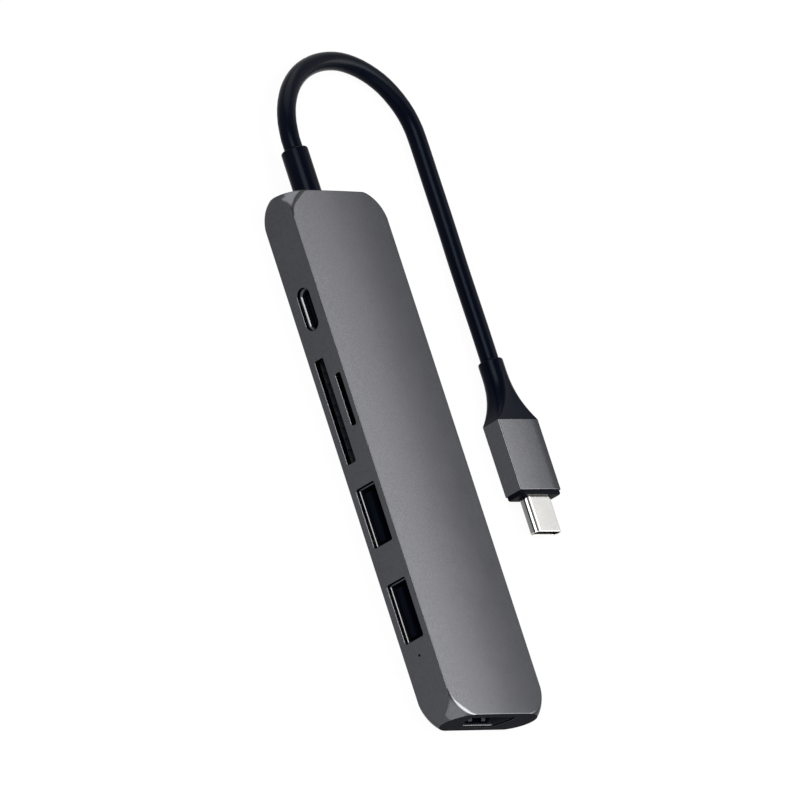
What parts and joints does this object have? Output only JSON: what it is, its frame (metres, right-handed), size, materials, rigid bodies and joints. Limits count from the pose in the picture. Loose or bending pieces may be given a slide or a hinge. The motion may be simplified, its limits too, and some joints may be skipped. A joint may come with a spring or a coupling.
{
  "type": "usb hub",
  "caption": "Slim flat metal bar with data, card and display ports along one side and one end, fed by a short captive cable with a reversible plug.",
  "frame": {"origin": "centre of the housing's flat back face, which rests on the table", "axes": "+X along the housing towards the end port, -Y out of the side ports, +Z out of the plain front face"},
  "size_m": [0.1614, 0.0644, 0.0093],
  "materials": {
    "anodised_aluminium": "grey anodised, fine bead-blasted satin",
    "nickel": "bright nickel plate on sheet steel",
    "steel": "plain bright steel",
    "black_plastic": "black moulded plastic",
    "black_rubber": "smooth black elastomer, satin",
    "circuit_board": "green solder mask on glass laminate",
    "chip_resin": "black moulding resin",
    "ceramic": "pressed ferrite",
    "clear_plastic": "clear moulded plastic",
    "silicone": "soft heat-conducting silicone",
    "wire_insulation": "soft wire insulation"
  },
  "bodies": {
    "root": {"housing_shell": "anodised_aluminium", "back_cover": "anodised_aluminium", "main_board": "circuit_board", "board_screw_1": "steel", "board_screw_2": "steel", "board_screw_3": "steel", "board_screw_4": "steel", "hub_controller_chip": "chip_resin", "video_converter_chip": "chip_resin", "card_reader_chip": "chip_resin", "power_delivery_chip": "chip_resin", "clock_crystal": "steel", "power_inductor_1": "ceramic", "power_inductor_2": "ceramic", "bulk_capacitor_1": "chip_resin", "bulk_capacitor_2": "chip_resin", "thermal_pad": "silicone", "light_pipe": "clear_plastic", "status_led": "clear_plastic", "usb_c_port_shell": "nickel", "usb_c_port_tongue": "black_plastic", "usb_a_port_shell_1": "nickel", "usb_a_port_tongue_1": "black_plastic", "usb_a_port_shell_2": "nickel", "usb_a_port_tongue_2": "black_plastic", "hdmi_port_shell": "nickel", "hdmi_port_tongue": "black_plastic", "sd_slot_body": "black_plastic", "sd_slot_cover": "steel", "microsd_slot_body": "black_plastic", "microsd_slot_cover": "steel", "strain_relief": "black_rubber", "lead_wire_1": "wire_insulation", "lead_wire_2": "wire_insulation", "lead_wire_3": "wire_insulation", "lead_wire_4": "wire_insulation", "cable": "black_rubber", "plug_boot": "black_rubber", "plug_sleeve": "anodised_aluminium", "plug_nose": "black_plastic", "plug_shell": "nickel", "plug_insulator": "black_plastic", "plug_board": "circuit_board"}
  },
  "joints": []
}
